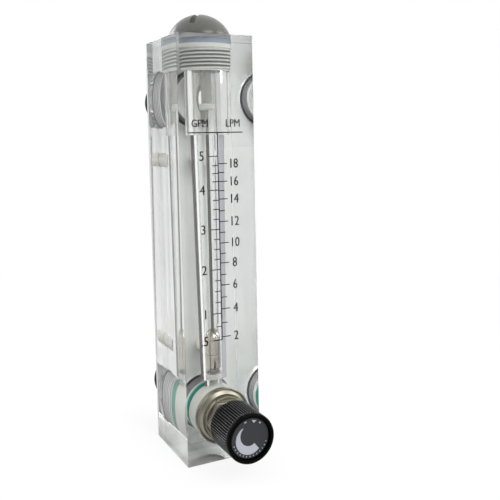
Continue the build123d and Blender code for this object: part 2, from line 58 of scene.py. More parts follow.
block_low, block_high = corners_of("body_block")
front_y, block_back_y, block_top = block_low[1], block_high[1], block_high[2]
plate_back_y = corners_of("back_plate")[1][1]
bore_y = middle_of("float", 1)
valve_height, outlet_height = middle_of("knob", 2), middle_of("outlet_fitting", 2)
stud_heights = middle_of("nut_upper", 2), middle_of("nut_lower", 2)

bore_foot, bore_foot_radius = 31.5, 5.5
bore_top, bore_top_radius = 131.5, 7.1
chamber_radius = 9.0
plug_hole_foot, plug_hole_radius, plug_recess_foot = 156.6, 10.05, 165.5
plug_seal_height, plug_recess_radius = 168.2, 10.7
plug_rim, plug_top, plug_head_radius = 171.0, 179.47, 12.5
plug_thread_pitch, plug_thread_foot = 1.4, 157.0
valve_bore_radius, valve_bore_end_y = 11.0, 5.0
port_hole_end_y, port_hole_radius, port_thread_pitch = 6.0, 10.55, 1.814
port_recess_y, port_recess_radius = 14.7, 12.0
stud_start_y, stud_radius = 7.5, 3.0
knob_radius, knob_rib_count, knob_rib_depth = 9.7, 60, 0.45
knob_back_y, ribs_end_y, cap_back_y, cap_face_y, knob_front_y = -26.0, -40.9, -40.5, -41.7, -43.0
beyond = 1.0


# The camera of the photograph

def photo_camera():
    """Camera with the place, turn and framing worked out from the block's corners."""
    focal_pixels, frame_pixels, film_width = 710.8, 500.0, 36.0
    azimuth, tilt, roll = (math.radians(angle) for angle in (26.41, -5.9, -1.11))
    place = Vector((-112.65, -272.08, 130.59)) * MM
    level = math.cos(tilt)
    forward = Vector((math.sin(azimuth) * level, math.cos(azimuth) * level, math.sin(tilt)))
    level_right = Vector((math.cos(azimuth), -math.sin(azimuth), 0))
    level_up = level_right.cross(forward)
    right = math.cos(roll) * level_right + math.sin(roll) * level_up
    up = -math.sin(roll) * level_right + math.cos(roll) * level_up
    data = bpy.data.cameras.new("photo_camera")
    data.sensor_width = film_width
    data.lens = focal_pixels * film_width / frame_pixels
    data.shift_y = -0.08
    data.clip_start, data.clip_end = 0.01, 40.0
    camera = bpy.data.objects.new("photo_camera", data)
    turn = Matrix((right, up, -forward)).transposed().to_4x4()
    camera.matrix_world = Matrix.Translation(place) @ turn
    bpy.context.scene.collection.objects.link(camera)
    bpy.context.scene.camera = camera


photo_camera()
bpy.context.scene.view_settings.view_transform = "Standard"


# Laying nodes

COLOUR, NUMBER, VECTOR = "NodeSocketColor", "NodeSocketFloat", "NodeSocketVector"


class Nodes:
    """A node tree, with short calls to lay its nodes and to join them."""

    def __init__(self, tree):
        self.tree = tree
        self.tree.nodes.clear()

    def lay(self, kind, **settings):
        node = self.tree.nodes.new(kind)
        for key, value in settings.items():
            setattr(node, key, value)
        return node

    def join(self, start, end):
        self.tree.links.new(start, end)

    def feed(self, value, socket):
        """Sets a socket to one number, or joins it to a value that changes over the surface."""
        if isinstance(value, float):
            socket.default_value = value
        else:
            self.join(value, socket)

    def combine(self, operation, first, second):
        """Two values put together by one operation, such as MULTIPLY or MAXIMUM."""
        both = self.lay("ShaderNodeMath", operation=operation)
        self.feed(first, both.inputs[0])
        self.feed(second, both.inputs[1])
        return both.outputs[0]

    def along(self, axis):
        """Place along one axis of the object, in metres."""
        place, parts = self.lay("ShaderNodeTexCoord"), self.lay("ShaderNodeSeparateXYZ")
        self.join(place.outputs["Object"], parts.inputs["Vector"])
        return parts.outputs[axis]

    def round_axis(self, centre, across):
        """Distance from an axis through a place in millimetres; across is 0 in the axis's own direction."""
        place = self.lay("ShaderNodeTexCoord")
        moved = self.lay("ShaderNodeVectorMath", operation="SUBTRACT")
        moved.inputs[1].default_value = [value * MM for value in centre]
        flat = self.lay("ShaderNodeVectorMath", operation="MULTIPLY")
        flat.inputs[1].default_value = across
        reach = self.lay("ShaderNodeVectorMath", operation="LENGTH")
        self.join(place.outputs["Object"], moved.inputs[0])
        self.join(moved.outputs["Vector"], flat.inputs[0])
        self.join(flat.outputs["Vector"], reach.inputs[0])
        return reach.outputs["Value"]

    def ramp(self, value, low, high, start=0.0, end=1.0):
        """Soft step from start to end while a value goes from low to high."""
        step = self.lay("ShaderNodeMapRange", interpolation_type="SMOOTHSTEP")
        for label, number in (("From Min", low), ("From Max", high), ("To Min", start), ("To Max", end)):
            step.inputs[label].default_value = number
        self.join(value, step.inputs["Value"])
        return step.outputs["Result"]

    def blend(self, share, first, second):
        """Colour between two by a share; each colour is three numbers or comes from a node."""
        mix = self.lay("ShaderNodeMix", data_type="RGBA")
        for label, colour in (("A", first), ("B", second)):
            if isinstance(colour, tuple):
                mix.inputs[label].default_value = (*colour, 1)
            else:
                self.join(colour, mix.inputs[label])
        self.join(share, mix.inputs["Factor"])
        return mix.outputs["Result"]

    def mix_shaders(self, share, first, second):
        """Shader between two, by a share."""
        mix = self.lay("ShaderNodeMixShader")
        self.feed(share, mix.inputs["Fac"])
        self.join(first, mix.inputs[1])
        self.join(second, mix.inputs[2])
        return mix.outputs["Shader"]


class Finish(Nodes):
    """One material with its main shader."""

    def __init__(self, name):
        self.material = bpy.data.materials.new(name)
        self.material.use_nodes = True
        super().__init__(self.material.node_tree)
        self.shader = self.lay("ShaderNodeBsdfPrincipled")
        self.output = self.lay("ShaderNodeOutputMaterial")
        self.join(self.shader.outputs["BSDF"], self.output.inputs["Surface"])

    def effect(self, group, **values):
        """Places an effect; an underscore in a label stands for its space."""
        node = self.lay("ShaderNodeGroup")
        node.node_tree = group
        for key, value in values.items():
            node.inputs[key.replace("_", " ")].default_value = value
        return node

    def plain(self, **values):
        """Sets values that are the same all over the surface."""
        for key, value in values.items():
            self.shader.inputs[key.replace("_", " ")].default_value = value

    def colour_by(self, colour):
        self.join(colour, self.shader.inputs["Base Color"])

    def roughen_by(self, roughness):
        self.join(roughness, self.shader.inputs["Roughness"])

    def raise_by(self, height, strength, distance):
        bump = self.lay("ShaderNodeBump")
        bump.inputs["Strength"].default_value = strength
        bump.inputs["Distance"].default_value = distance
        self.join(height, bump.inputs["Height"])
        self.join(bump.outputs["Normal"], self.shader.inputs["Normal"])

    def show(self, surface):
        self.join(surface, self.output.inputs["Surface"])


# Effects that several finishes share

class Effect(Nodes):
    """Node group with named inputs and outputs."""

    def __init__(self, name, inputs, outputs):
        self.group = bpy.data.node_groups.new(name, "ShaderNodeTree")
        super().__init__(self.group)
        for label, kind, value in inputs:
            socket = self.group.interface.new_socket(label, in_out="INPUT", socket_type=kind)
            socket.default_value = value
        for label, kind in outputs:
            self.group.interface.new_socket(label, in_out="OUTPUT", socket_type=kind)
        self.given = self.lay("NodeGroupInput").outputs
        self.made = self.lay("NodeGroupOutput").inputs

    def noise(self, place, scale, detail):
        cloud = self.lay("ShaderNodeTexNoise")
        cloud.inputs["Detail"].default_value = detail
        self.join(place, cloud.inputs["Vector"])
        self.join(scale, cloud.inputs["Scale"])
        return cloud.outputs["Fac"]

    def finish_between(self, share, second_colour):
        """Puts out a colour and a roughness between the two that are given."""
        self.join(self.blend(share, self.given["Colour"], self.given[second_colour]), self.made["Colour"])
        spread = self.lay("ShaderNodeMapRange")
        self.join(share, spread.inputs["Value"])
        self.join(self.given["Low Roughness"], spread.inputs["To Min"])
        self.join(self.given["High Roughness"], spread.inputs["To Max"])
        self.join(spread.outputs["Result"], self.made["Roughness"])


effect_outputs = [("Colour", COLOUR), ("Roughness", NUMBER), ("Height", NUMBER)]


def moulded_skin():
    """Fine skin of moulded plastic or rubber: cloudy colour, uneven gloss and a grain."""
    skin = Effect("moulded_skin", [
        ("Colour", COLOUR, (0.5, 0.5, 0.5, 1)), ("Cloud Colour", COLOUR, (0.4, 0.4, 0.4, 1)),
        ("Cloud Scale", NUMBER, 160.0), ("Grain Scale", NUMBER, 2600.0),
        ("Low Roughness", NUMBER, 0.3), ("High Roughness", NUMBER, 0.5),
    ], effect_outputs)
    place = skin.lay("ShaderNodeTexCoord").outputs["Object"]
    skin.finish_between(skin.noise(place, skin.given["Cloud Scale"], 3.0), "Cloud Colour")
    skin.join(skin.noise(place, skin.given["Grain Scale"], 2.0), skin.made["Height"])
    return skin.group


def drawn_lines():
    """Fine lines that a tool leaves along metal: streaks stretched by the given scale."""
    lines = Effect("drawn_lines", [
        ("Colour", COLOUR, (0.6, 0.6, 0.6, 1)), ("Streak Colour", COLOUR, (0.5, 0.5, 0.5, 1)),
        ("Stretch", VECTOR, (1, 1, 1)), ("Line Scale", NUMBER, 900.0),
        ("Low Roughness", NUMBER, 0.2), ("High Roughness", NUMBER, 0.35),
    ], effect_outputs)
    place = lines.lay("ShaderNodeTexCoord")
    stretched = lines.lay("ShaderNodeVectorMath", operation="MULTIPLY")
    lines.join(place.outputs["Object"], stretched.inputs[0])
    lines.join(lines.given["Stretch"], stretched.inputs[1])
    streak = lines.noise(stretched.outputs["Vector"], lines.given["Line Scale"], 4.0)
    lines.finish_between(streak, "Streak Colour")
    lines.join(streak, lines.made["Height"])
    return lines.group


skin_effect = moulded_skin()
line_effect = drawn_lines()
skin_depth, line_depth = 0.04 * MM, 0.03 * MM


# Plastic, rubber, paint and metal

def plastic_finish(name, colour, cloud, low, high, bump=0.25, **plain):
    """Moulded surface between two colours and two roughnesses."""
    finish = Finish(name)
    skin = finish.effect(skin_effect, Colour=(*colour, 1), Cloud_Colour=(*cloud, 1),
                         Low_Roughness=low, High_Roughness=high)
    finish.colour_by(skin.outputs["Colour"])
    finish.roughen_by(skin.outputs["Roughness"])
    finish.raise_by(skin.outputs["Height"], bump, skin_depth)
    finish.plain(**plain)
    return finish.material


def metal_finish(name, colour, streak, stretch, low, high, lines=900.0, metallic=1.0):
    """Turned, drawn or brushed metal between two colours and two roughnesses."""
    finish = Finish(name)
    drawn = finish.effect(line_effect, Colour=(*colour, 1), Streak_Colour=(*streak, 1), Stretch=stretch,
                          Line_Scale=lines, Low_Roughness=low, High_Roughness=high)
    finish.colour_by(drawn.outputs["Colour"])
    finish.roughen_by(drawn.outputs["Roughness"])
    finish.raise_by(drawn.outputs["Height"], 0.15, line_depth)
    finish.plain(Metallic=metallic)
    return finish.material


def stud_finish():
    """Brass that is dull and pale where the acrylic grips it, and bright where it stands out behind it."""
    bright_from, bright_to = 15.5 * MM, 16.5 * MM
    finish = Finish("stud_brass")
    drawn = finish.effect(line_effect, Colour=(0.80, 0.775, 0.72, 1), Streak_Colour=(0.73, 0.705, 0.65, 1),
                          Stretch=(0.05, 1, 0.05))
    depth = finish.along("Y")
    outside = finish.ramp(depth, bright_from, bright_to)
    finish.colour_by(finish.blend(outside, drawn.outputs["Colour"], (0.72, 0.52, 0.23)))
    finish.join(finish.ramp(depth, bright_from, bright_to, 0.3, 1.0), finish.shader.inputs["Metallic"])
    finish.roughen_by(finish.ramp(depth, bright_from, bright_to, 0.5, 0.25))
    return finish.material


def knob_finish():
    """Black plastic whose ribs are painted lighter and glossier along their crests, as a painted highlight.
    """
    finish = Finish("knob_plastic")
    skin = finish.effect(skin_effect, Low_Roughness=0.3, High_Roughness=0.42)
    reach = finish.round_axis((0, 0, valve_height), (1, 0, 1))
    crest = finish.ramp(reach, (knob_radius - 0.22) * MM, (knob_radius - 0.06) * MM)
    ribbed = finish.ramp(finish.along("Y"), (ribs_end_y - 0.2) * MM, (ribs_end_y + 0.3) * MM)
    # Painted highlight: the crests are made lighter and glossier where the ribs stand out
    lit_crests = finish.combine("MULTIPLY", crest, ribbed)
    finish.colour_by(finish.blend(lit_crests, (0.002, 0.002, 0.002), (0.075, 0.075, 0.078)))
    finish.join(finish.ramp(lit_crests, 0.0, 1.0, 0.04, 0.5), finish.shader.inputs["Specular IOR Level"])
    finish.roughen_by(skin.outputs["Roughness"])
    finish.raise_by(skin.outputs["Height"], 0.25, skin_depth)
    return finish.material


plug_plastic = plastic_finish("plug_plastic", (0.125, 0.125, 0.112), (0.095, 0.095, 0.086), 0.2, 0.35)
# Slot walls: the plug's plastic made darker, as painted shade in the slot
slot_shade_plastic = plastic_finish("slot_shade_plastic", (0.05, 0.05, 0.045), (0.04, 0.04, 0.036), 0.3, 0.45)
stop_plastic = plastic_finish("stop_plastic", (0.45, 0.45, 0.435), (0.38, 0.38, 0.37), 0.35, 0.5)
seal_rubber = plastic_finish("seal_rubber", (0.19, 0.195, 0.205), (0.15, 0.155, 0.165), 0.45, 0.6)
fitting_plastic = plastic_finish("fitting_plastic", (0.020, 0.020, 0.023), (0.027, 0.027, 0.03), 0.4, 0.55,
                                 Specular_IOR_Level=0.3)
cartridge_plastic = plastic_finish("cartridge_plastic", (0.86, 0.86, 0.82), (0.80, 0.80, 0.77), 0.3, 0.45)
cap_plastic = plastic_finish("cap_plastic", (0.022, 0.022, 0.028), (0.026, 0.027, 0.034), 0.28, 0.4)
mark_paint = plastic_finish("mark_paint", (0.58, 0.60, 0.66), (0.52, 0.54, 0.60), 0.4, 0.55, bump=0.1)
scale_ink = plastic_finish("scale_ink", (0.008, 0.008, 0.01), (0.012, 0.012, 0.014), 0.45, 0.6, bump=0.1,
                           Specular_IOR_Level=0.1)
knob_plastic = knob_finish()

# What is pressed against the acrylic keeps almost no gloss
green_rubber = plastic_finish("green_seal", (0.008, 0.24, 0.17), (0.009, 0.20, 0.15), 0.35, 0.5,
                              Specular_IOR_Level=0.04)
pressed_rubber = plastic_finish("pressed_rubber", (0.30, 0.34, 0.40), (0.26, 0.29, 0.36), 0.45, 0.6,
                                Specular_IOR_Level=0.04)
# Barrel inside the bore: a darker copy of the cartridge's white plastic, as painted shade
shaded_pressed_plastic = plastic_finish("shaded_pressed_plastic", (0.58, 0.59, 0.54), (0.50, 0.51, 0.47), 0.4, 0.5,
                                 Specular_IOR_Level=0.04)

plate_metal = metal_finish("satin_plate", (0.76, 0.768, 0.758), (0.69, 0.698, 0.69), (1, 1, 0.02), 0.38, 0.5,
                           lines=1500.0, metallic=0.3)
rod_steel = metal_finish("rod_steel", (0.14, 0.14, 0.13), (0.10, 0.10, 0.09), (1, 1, 0.03), 0.2, 0.35)
float_steel = metal_finish("float_steel", (0.47, 0.44, 0.39), (0.33, 0.305, 0.265), (0.05, 0.05, 1),
                           0.12, 0.3)
nut_steel = metal_finish("nut_steel", (0.62, 0.60, 0.55), (0.50, 0.48, 0.43), (1, 1, 1), 0.18, 0.34)
plated_brass = metal_finish("plated_brass", (0.36, 0.34, 0.275), (0.21, 0.19, 0.145), (0.05, 1, 0.05),
                            0.3, 0.45)
stem_brass = metal_finish("stem_brass", (0.75, 0.56, 0.26), (0.62, 0.44, 0.19), (0.05, 1, 0.05), 0.15, 0.32)
stud_brass = stud_finish()


# Acrylic, clear, and with walls greyed partly as frosting by the tool and partly by painted shade, light and
# reflection

def clear_skin(finish, low, high):
    """Makes the main shader clear acrylic with a faintly uneven skin."""
    skin = finish.effect(skin_effect, Colour=(0.992, 0.996, 0.994, 1), Cloud_Colour=(0.985, 0.992, 0.989, 1),
                         Low_Roughness=low, High_Roughness=high)
    finish.colour_by(skin.outputs["Colour"])
    finish.roughen_by(skin.outputs["Roughness"])
    finish.plain(Transmission_Weight=1.0, IOR=1.49)


def pass_light(finish, surface):
    """Shows that surface, and lets light straight through where it would cast a shadow."""
    passing = finish.lay("ShaderNodeBsdfTransparent")
    passing.inputs["Color"].default_value = (0.93, 0.94, 0.935, 1)
    ray = finish.lay("ShaderNodeLightPath")
    finish.show(finish.mix_shaders(ray.outputs["Is Shadow Ray"], surface, passing.outputs["BSDF"]))


def acrylic_finish(name, low, high):
    """Acrylic that is clear all over, polished or as drilled."""
    finish = Finish(name)
    clear_skin(finish, low, high)
    pass_light(finish, finish.shader.outputs["BSDF"])
    return finish.material


def machined_and_painted_finish(name, rough, first, second, share, veil):
    """Acrylic partly covered by a matt grey, in a colour between two; the grey stands for frosting left by
    the tool and, where it follows the place or the view, for painted shade, light and reflection; veil is the
    share of the grey.
    """
    finish = Finish(name)
    clear_skin(finish, rough, rough + 0.04)
    grey = finish.lay("ShaderNodeBsdfPrincipled")
    grey.inputs["Roughness"].default_value = 0.5
    grey.inputs["Specular IOR Level"].default_value = 0.05
    finish.join(finish.blend(share(finish), first, second), grey.inputs["Base Color"])
    greyed = veil(finish) if callable(veil) else veil
    pass_light(finish, finish.mix_shaders(greyed, finish.shader.outputs["BSDF"], grey.outputs["BSDF"]))
    return finish.material


def share_along(axis, low, high, start=0.0, end=1.0):
    """Share that goes from start to end between two places along an axis."""
    return lambda finish: finish.ramp(finish.along(axis), low * MM, high * MM, start, end)


def band_along(axis, rise, fall, most=1.0):
    """Share that rises between two places along an axis and falls again between two more."""
    def share(finish):
        rising = finish.ramp(finish.along(axis), rise[0] * MM, rise[1] * MM, 0.0, most)
        falling = finish.ramp(finish.along(axis), fall[0] * MM, fall[1] * MM, 1.0, 0.0)
        return finish.combine("MULTIPLY", rising, falling)
    return share


def groove_share(centre, across, crest, root):
    """Share that rises over the depth of a thread's grooves."""
    return lambda finish: finish.ramp(finish.round_axis(centre, across), crest * MM, root * MM)


def steepness(finish):
    """Value that rises from 0 to 1 as a face is seen at a lower angle."""
    facing = finish.lay("ShaderNodeLayerWeight")
    facing.inputs["Blend"].default_value = 0.5
    return facing.outputs["Facing"]


def floor_reflection_share(finish):
    """A drilled floor painted pale from the front and dark from the side, as painted reflection and shade."""
    return finish.ramp(steepness(finish), 0.12, 0.24)


def bore_shade_veil(finish):
    """The bore's wall is greyed with painted shade where it is seen at a low angle through the block, and
    sooner on its right.
    """
    sooner = finish.ramp(finish.along("X"), -1 * MM, 1 * MM, 0.0, 0.12)
    steep = finish.ramp(finish.combine("ADD", steepness(finish), sooner), 0.34, 0.41, 0.0, 0.85)
    side = finish.lay("ShaderNodeNewGeometry")
    return finish.combine("MULTIPLY", steep, side.outputs["Backfacing"])


clear_acrylic = acrylic_finish("clear_acrylic", 0.0, 0.02)
drilled_acrylic = acrylic_finish("drilled_acrylic", 0.05, 0.12)
# Bore wall: painted shade where it is seen at a low angle, darker on the left and paler, faintly lavender, on
# the right
bore_shade_acrylic = machined_and_painted_finish(
    "bore_shade_acrylic", 0.01, (0.085, 0.085, 0.085), (0.34, 0.34, 0.37), share_along("X", -2, 2), bore_shade_veil)
# Chamber wall: a light grey veil painted lighter on the left and darker on the right, as painted light and
# shade
chamber_acrylic = machined_and_painted_finish(
    "chamber_acrylic", 0.01, (0.66, 0.66, 0.62), (0.50, 0.50, 0.48), share_along("X", -6, 4), 0.3)
# Back face: a grey band down its middle is a painted shadow of the bore, a little darker towards the top
back_shadow_acrylic = machined_and_painted_finish(
    "back_shadow_acrylic", 0.01, (0.50, 0.50, 0.48), (0.46, 0.46, 0.45), share_along("Z", 0, block_top),
    band_along("X", (-9, -2), (-1, 5), 0.26))
# Bottom face: matt grey like a sawn face, with painted shade: the grey is stronger towards the left and
# darker towards the front and back
sawn_shaded_acrylic = machined_and_painted_finish(
    "sawn_shaded_acrylic", 0.03, (0.40, 0.40, 0.38), (0.64, 0.64, 0.61), band_along("Y", (-9, -4), (2, 6)),
    share_along("X", -12, -2, 0.75, 0.25))
# Plug thread: pale crests are a painted silver glint and dark grooves painted shade
plug_thread_acrylic = machined_and_painted_finish(
    "plug_thread_acrylic", 0.05, (0.52, 0.53, 0.50), (0.13, 0.13, 0.13),
    groove_share((0, bore_y, 0), (1, 1, 0), plug_hole_radius + 0.07, plug_hole_radius + 0.45), 1.0)
# Collar round the plug's seal: grey painted lighter towards the top, as painted light
plug_collar_acrylic = machined_and_painted_finish(
    "plug_collar_acrylic", 0.05, (0.52, 0.53, 0.50), (0.62, 0.63, 0.60),
    share_along("Z", plug_recess_foot, block_top), 1.0)
# Port threads: pale crests are a painted silver glint and dark grooves painted shade
port_thread_acrylic = {}
for name, height in (("upper_port_acrylic", outlet_height), ("lower_port_acrylic", valve_height)):
    port_thread_acrylic[height] = machined_and_painted_finish(
        name, 0.05, (0.66, 0.66, 0.65), (0.15, 0.15, 0.16),
        groove_share((0, 0, height), (1, 0, 1), port_hole_radius + 0.1, port_hole_radius + 0.6), 1.0)
# Port floor: pale from the front and dark from the side, a painted reflection and shade that follow the view
port_floor_acrylic = machined_and_painted_finish(
    "port_floor_acrylic", 0.08, (0.62, 0.62, 0.60), (0.03, 0.035, 0.055), floor_reflection_share, 0.88)
# Passages: a grey veil painted darker towards their front ends, as painted shade deep in the holes
passage_acrylic = machined_and_painted_finish(
    "passage_acrylic", 0.05, (0.16, 0.17, 0.19), (0.30, 0.32, 0.36), share_along("Y", -3, 6), 0.7)
# Valve bore: opaque grey painted darker towards the top, as painted shade
valve_bore_acrylic = machined_and_painted_finish(
    "valve_bore_acrylic", 0.02, (0.50, 0.51, 0.48), (0.42, 0.43, 0.41), share_along("Z", 10, 26), 1.0)


# Making meshes

def along_y(height):
    """Places a point that lies so far along +Y, so far out and at such an angle round a level axis."""
    return lambda along, out, angle: Vector((out * math.cos(angle), along, height + out * math.sin(angle)))


def along_z(depth):
    """The same round an upright axis at that depth."""
    return lambda along, out, angle: Vector((out * math.cos(angle), depth + out * math.sin(angle), along))


def eased(outline, size, steps=4):
    """Closed outline with each corner rounded by about that size, where it isn't almost straight."""
    soft = []
    for index, corner in enumerate(outline):
        here = Vector(corner)
        back = Vector(outline[index - 1]) - here
        ahead = Vector(outline[(index + 1) % len(outline)]) - here
        if abs(back.angle(ahead) - math.pi) < 0.2:
            soft.append(corner)
            continue
        start = here + back.normalized() * min(size, 0.45 * back.length)
        end = here + ahead.normalized() * min(size, 0.45 * ahead.length)
        for step in range(steps + 1):
            share = step / steps
            point = (1 - share) ** 2 * start + 2 * share * (1 - share) * here + share ** 2 * end
            soft.append((point.x, point.y))
    return soft


def groove(turns):
    """Depth share, 0 to 1, of a thread's groove at a number of turns."""
    land, flank = 0.14, 0.72
    part = 1 - abs(2 * (turns % 1.0) - 1)
    return min(1.0, max(0.0, (part - land) / flank))


def thread(start, end, radius, depth, pitch, fade=None, steps=8):
    """Stations of a thread from start to end; a positive depth cuts inwards, a negative one outwards."""
    fade = pitch if fade is None else fade

    def station(along):
        reach = min(1.0, abs(along - start) / fade, abs(end - along) / fade)
        return along, radius, lambda angle: -depth * reach * groove(along / pitch - angle / math.tau)
    count = max(2, int(abs(end - start) / pitch * steps))
    return [station(start + (end - start) * index / count) for index in range(count + 1)]


def lathe(outline, place, spins=96):
    """Points and faces of a closed outline turned round an axis."""
    points, rings, faces = [], [], []
    for station in outline:
        along, radius = station[:2]
        change = station[2] if len(station) > 2 else None
        if radius == 0:
            rings.append([len(points)] * spins)
            points.append(place(along, 0, 0))
            continue
        rings.append(list(range(len(points), len(points) + spins)))
        for spin in range(spins):
            angle = math.tau * spin / spins
            points.append(place(along, radius + (change(angle) if change else 0), angle))
    for index, ring in enumerate(rings):
        following = rings[(index + 1) % len(rings)]
        if outline[index][1] == 0 and outline[(index + 1) % len(rings)][1] == 0:
            continue
        for spin in range(spins):
            after = (spin + 1) % spins
            corners = []
            for point in (ring[spin], ring[after], following[after], following[spin]):
                if point not in corners:
                    corners.append(point)
            faces.append(corners)
    return points, faces


def hexagon(across, low, high, hole, place, face, low_face=None, turn=0.0, slope=0.577, spins=96):
    """Points and faces of a hexagon with a hole, its corners cut back to a cone at one or both ends."""
    inside, sixth = across / 2, math.pi / 3
    toward = 1 if high > low else -1
    points, faces = [], []
    for spin in range(spins):
        angle = math.tau * spin / spins
        swing = (angle + sixth / 2) % sixth - sixth / 2
        corner = inside / math.cos(swing)
        top = high - toward * max(0.0, corner - face) * slope
        foot, foot_face = low, corner
        if low_face is not None:
            foot = low + toward * max(0.0, corner - low_face) * slope
            foot_face = min(low_face, corner)
        ring = [
            (low, hole), (low, foot_face), (foot, corner),
            (top, corner), (high, min(face, corner)), (high, hole),
        ]
        points += [place(along, out, angle + turn) for along, out in ring]
    rows = len(ring)
    for spin in range(spins):
        here, after = spin * rows, (spin + 1) % spins * rows
        for row in range(rows):
            following = (row + 1) % rows
            faces.append([here + row, after + row, after + following, here + following])
    return points, faces


def gather(*parts):
    """Several lots of points and faces as one."""
    points, faces = [], []
    for more_points, more_faces in parts:
        faces += [[index + len(points) for index in face] for face in more_faces]
        points += more_points
    return points, faces


def mesh_object(name, shape, finish, crease=32.0):
    """Object from points in millimetres, with its doubles closed and its normals outwards."""
    points, faces = shape
    work = bmesh.new()
    corners = [work.verts.new(point * MM) for point in points]
    for face in faces:
        if len(face) > 2:
            work.faces.new([corners[index] for index in face])
    bmesh.ops.remove_doubles(work, verts=work.verts, dist=1e-7)
    bmesh.ops.dissolve_degenerate(work, edges=work.edges, dist=1e-8)
    bmesh.ops.recalc_face_normals(work, faces=work.faces)
    mesh = bpy.data.meshes.new(name)
    work.to_mesh(mesh)
    work.free()
    mesh.materials.append(finish)
    smooth(mesh, crease)
    made = bpy.data.objects.new(name, mesh)
    bpy.context.scene.collection.objects.link(made)
    return made


def smooth(mesh, crease):
    mesh.polygons.foreach_set("use_smooth", [True] * len(mesh.polygons))
    mesh.set_sharp_from_angle(angle=math.radians(crease))


def settle(piece, body, slot, *stands_for):
    """Puts a piece on its body and hides the solids that it stands for; slot is not used."""
    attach(piece, body)
    if stands_for:
        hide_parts(*stands_for)


def carve(blank, cutters, crease=32.0):
    """Blank with the cutters taken away from it, as one plain mesh."""
    for cutter in cutters:
        step = blank.modifiers.new(cutter.name, "BOOLEAN")
        step.operation = "DIFFERENCE"
        step.solver = "EXACT"
        step.material_mode = "TRANSFER"
        step.object = cutter
    bpy.context.view_layer.update()
    graph = bpy.context.evaluated_depsgraph_get()
    mesh = bpy.data.meshes.new_from_object(blank.evaluated_get(graph))
    blank.modifiers.clear()
    blank.data = mesh
    for cutter in cutters:
        bpy.data.objects.remove(cutter)
    smooth(mesh, crease)


def box_shape(low, high, edge):
    """Points and faces of a box whose edges are cut back by a little."""
    work = bmesh.new()
    bmesh.ops.create_cube(work, size=1.0)
    middle, span = (Vector(low) + Vector(high)) / 2, Vector(high) - Vector(low)
    for corner in work.verts:
        corner.co = Vector(middle[i] + corner.co[i] * span[i] for i in range(3))
    bmesh.ops.bevel(work, geom=list(work.edges), offset=edge, segments=2, profile=0.5, affect="EDGES")
    work.verts.index_update()
    points = [corner.co.copy() for corner in work.verts]
    faces = [[corner.index for corner in face.verts] for face in work.faces]
    work.free()
    return points, faces


# The clear block

def finish_faces(piece, finish, chosen):
    """Gives part of a piece's faces a further finish, by the place of each face in millimetres."""
    piece.data.materials.append(finish)
    for face in piece.data.polygons:
        if chosen(face.center / MM):
            face.material_index = len(piece.data.materials) - 1


def bore_cutter():
    """The float bore with its chamber, the plug's thread and the recess for the plug's seal."""
    passage_radius = 3.7
    outline = [
        (valve_height, 0), (valve_height, passage_radius),
        (bore_foot, passage_radius), (bore_foot, bore_foot_radius),
        (bore_top, bore_top_radius), (bore_top, chamber_radius),
        (plug_hole_foot, chamber_radius), (plug_hole_foot, plug_hole_radius),
        *thread(plug_thread_foot, plug_recess_foot, plug_hole_radius, -0.55, plug_thread_pitch, fade=0.7),
        (plug_recess_foot, plug_recess_radius),
        (block_top + beyond, plug_recess_radius), (block_top + beyond, 0),
    ]
    cutter = mesh_object("bore_cutter", lathe(outline, along_z(bore_y), 128), bore_shade_acrylic)
    finish_faces(cutter, chamber_acrylic, lambda place: place.z > bore_top + 0.1)
    finish_faces(cutter, plug_thread_acrylic, lambda place: place.z > plug_hole_foot - 0.1)
    finish_faces(cutter, plug_collar_acrylic, lambda place: place.z > plug_recess_foot - 0.1)
    return cutter


def valve_cutter():
    """The valve's bore, open to the front."""
    mouth_radius, mouth_slope = 11.4, 0.4
    outline = [
        (front_y - beyond, 0), (front_y - beyond, mouth_radius), (front_y, mouth_radius),
        (front_y + mouth_slope, valve_bore_radius),
        (valve_bore_end_y, valve_bore_radius), (valve_bore_end_y, 0),
    ]
    return mesh_object("valve_cutter", lathe(outline, along_y(valve_height), 128), valve_bore_acrylic)


def port_cutter(name, height, passage_end_y):
    """A rear port: the recess for its seal, its thread and the passage on to the bore."""
    passage_radius, near = 6.5, 0.05
    outline = [
        (passage_end_y, 0), (passage_end_y, passage_radius), (port_hole_end_y, passage_radius),
        (port_hole_end_y, port_hole_radius),
        *thread(port_hole_end_y + 0.2, port_recess_y, port_hole_radius, -0.75, port_thread_pitch, fade=0.8),
        (port_recess_y, port_recess_radius),
        (block_back_y + beyond, port_recess_radius), (block_back_y + beyond, 0),
    ]
    cutter = mesh_object(name, lathe(outline, along_y(height), 128), drilled_acrylic)
    finish_faces(cutter, passage_acrylic, lambda place: place.y < port_hole_end_y - near)
    finish_faces(cutter, port_floor_acrylic, lambda place: abs(place.y - port_hole_end_y) < near)
    finish_faces(cutter, port_thread_acrylic[height],
                 lambda place: math.hypot(place.x, place.z - height) > passage_radius + 3.5
                 and port_hole_end_y + near < place.y < port_recess_y - near)
    return cutter


def stud_cutter(name, height):
    """A stud's hole, drilled from the back."""
    hole_radius = stud_radius - 0.05
    outline = [
        (stud_start_y - 0.3, 0), (stud_start_y, hole_radius - 0.25), (stud_start_y + 0.1, hole_radius),
        (block_back_y + beyond, hole_radius), (block_back_y + beyond, 0),
    ]
    return mesh_object(name, lathe(outline, along_y(height), 72), drilled_acrylic)


